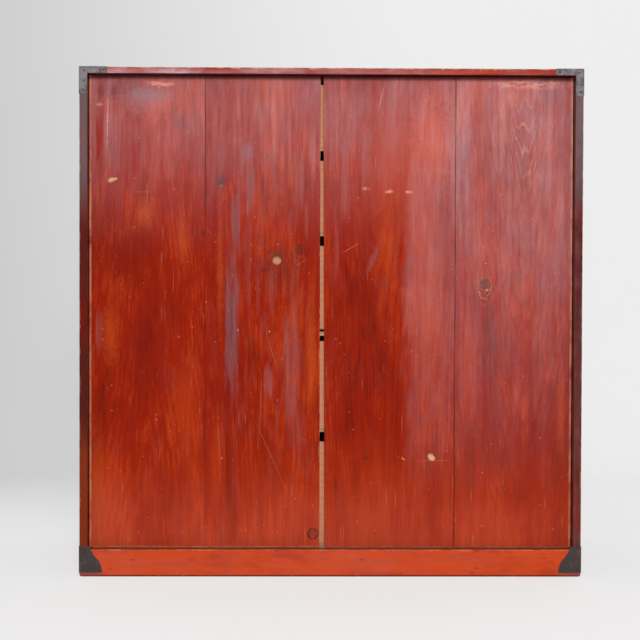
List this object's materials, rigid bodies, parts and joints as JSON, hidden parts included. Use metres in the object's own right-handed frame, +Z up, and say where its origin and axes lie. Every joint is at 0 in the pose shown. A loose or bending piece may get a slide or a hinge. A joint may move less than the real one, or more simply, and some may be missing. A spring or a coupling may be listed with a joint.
{
  "type": "tansu chest",
  "caption": "Red-lacquered wooden clothing chest with graduated drawers, iron corners and pulls, and a back of recessed edge-joined panels.",
  "frame": {"origin": "on the floor, in the middle of the overall width and depth", "axes": "+Z up; -Y is the way the drawers open; +Y is the way the panelled back faces; +X is to the right of someone who faces the drawers"},
  "size_m": [0.9726, 0.4402, 0.9833],
  "materials": {
    "red_lacquer": "worn glossy red lacquer",
    "bare_wood": "bare, aged softwood",
    "black_iron": "blackened wrought iron"
  },
  "bodies": {
    "case": {"top_board": "red_lacquer", "left_side": "red_lacquer", "right_side": "red_lacquer", "base_front_rail": "red_lacquer", "base_back_rail": "red_lacquer", "base_left_rail": "red_lacquer", "base_right_rail": "red_lacquer", "bottom_board": "bare_wood", "dust_board": "bare_wood", "left_runners": "bare_wood", "right_runners": "bare_wood", "back_panel_left": "red_lacquer", "back_panel_right": "red_lacquer", "drawer_rail_1": "red_lacquer", "drawer_rail_2": "red_lacquer", "mid_rail": "red_lacquer", "drawer_rail_4": "red_lacquer", "top_corner_irons": "black_iron", "bottom_corner_irons": "black_iron"},
    "drawer_1": {"drawer_1_front": "red_lacquer", "drawer_1_sides": "bare_wood", "drawer_1_back": "bare_wood", "drawer_1_bottom": "bare_wood", "drawer_1_cotters": "black_iron", "drawer_1_lock": "black_iron"},
    "drawer_1_left_bail": {"drawer_1_left_bail": "black_iron"},
    "drawer_1_right_bail": {"drawer_1_right_bail": "black_iron"},
    "drawer_2": {"drawer_2_front": "red_lacquer", "drawer_2_sides": "bare_wood", "drawer_2_back": "bare_wood", "drawer_2_bottom": "bare_wood", "drawer_2_cotters": "black_iron", "drawer_2_lock": "black_iron"},
    "drawer_2_left_bail": {"drawer_2_left_bail": "black_iron"},
    "drawer_2_right_bail": {"drawer_2_right_bail": "black_iron"},
    "drawer_3": {"drawer_3_front": "red_lacquer", "drawer_3_sides": "bare_wood", "drawer_3_back": "bare_wood", "drawer_3_bottom": "bare_wood", "drawer_3_cotters": "black_iron", "drawer_3_lock": "black_iron"},
    "drawer_3_left_bail": {"drawer_3_left_bail": "black_iron"},
    "drawer_3_right_bail": {"drawer_3_right_bail": "black_iron"},
    "drawer_4": {"drawer_4_front": "red_lacquer", "drawer_4_sides": "bare_wood", "drawer_4_back": "bare_wood", "drawer_4_bottom": "bare_wood", "drawer_4_cotters": "black_iron", "drawer_4_lock": "black_iron"},
    "drawer_4_left_bail": {"drawer_4_left_bail": "black_iron"},
    "drawer_4_right_bail": {"drawer_4_right_bail": "black_iron"},
    "drawer_5": {"drawer_5_front": "red_lacquer", "drawer_5_sides": "bare_wood", "drawer_5_back": "bare_wood", "drawer_5_bottom": "bare_wood", "drawer_5_cotters": "black_iron", "drawer_5_lock": "black_iron"},
    "drawer_5_left_bail": {"drawer_5_left_bail": "black_iron"},
    "drawer_5_right_bail": {"drawer_5_right_bail": "black_iron"}
  },
  "joints": [
    {"name": "drawer_1_slide", "type": "slide", "parent": "case", "child": "drawer_1", "axis": [0, -1, 0], "range_m": [0, 0.3]},
    {"name": "drawer_1_left_bail_hinge", "type": "hinge", "parent": "drawer_1", "child": "drawer_1_left_bail", "pos_m": [-0.25, -0.21515, 0.90715], "axis": [-1, 0, 0], "range_deg": [0, 170]},
    {"name": "drawer_1_right_bail_hinge", "type": "hinge", "parent": "drawer_1", "child": "drawer_1_right_bail", "pos_m": [0.25, -0.21515, 0.90715], "axis": [-1, 0, 0], "range_deg": [0, 170]},
    {"name": "drawer_2_slide", "type": "slide", "parent": "case", "child": "drawer_2", "axis": [0, -1, 0], "range_m": [0, 0.3]},
    {"name": "drawer_2_left_bail_hinge", "type": "hinge", "parent": "drawer_2", "child": "drawer_2_left_bail", "pos_m": [-0.25, -0.21515, 0.75015], "axis": [-1, 0, 0], "range_deg": [0, 170]},
    {"name": "drawer_2_right_bail_hinge", "type": "hinge", "parent": "drawer_2", "child": "drawer_2_right_bail", "pos_m": [0.25, -0.21515, 0.75015], "axis": [-1, 0, 0], "range_deg": [0, 170]},
    {"name": "drawer_3_slide", "type": "slide", "parent": "case", "child": "drawer_3", "axis": [0, -1, 0], "range_m": [0, 0.3]},
    {"name": "drawer_3_left_bail_hinge", "type": "hinge", "parent": "drawer_3", "child": "drawer_3_left_bail", "pos_m": [-0.25, -0.21515, 0.57615], "axis": [-1, 0, 0], "range_deg": [0, 170]},
    {"name": "drawer_3_right_bail_hinge", "type": "hinge", "parent": "drawer_3", "child": "drawer_3_right_bail", "pos_m": [0.25, -0.21515, 0.57615], "axis": [-1, 0, 0], "range_deg": [0, 170]},
    {"name": "drawer_4_slide", "type": "slide", "parent": "case", "child": "drawer_4", "axis": [0, -1, 0], "range_m": [0, 0.3]},
    {"name": "drawer_4_left_bail_hinge", "type": "hinge", "parent": "drawer_4", "child": "drawer_4_left_bail", "pos_m": [-0.25, -0.21515, 0.38265], "axis": [-1, 0, 0], "range_deg": [0, 170]},
    {"name": "drawer_4_right_bail_hinge", "type": "hinge", "parent": "drawer_4", "child": "drawer_4_right_bail", "pos_m": [0.25, -0.21515, 0.38265], "axis": [-1, 0, 0], "range_deg": [0, 170]},
    {"name": "drawer_5_slide", "type": "slide", "parent": "case", "child": "drawer_5", "axis": [0, -1, 0], "range_m": [0, 0.3]},
    {"name": "drawer_5_left_bail_hinge", "type": "hinge", "parent": "drawer_5", "child": "drawer_5_left_bail", "pos_m": [-0.25, -0.21515, 0.17215], "axis": [-1, 0, 0], "range_deg": [0, 170]},
    {"name": "drawer_5_right_bail_hinge", "type": "hinge", "parent": "drawer_5", "child": "drawer_5_right_bail", "pos_m": [0.25, -0.21515, 0.17215], "axis": [-1, 0, 0], "range_deg": [0, 170]}
  ]
}
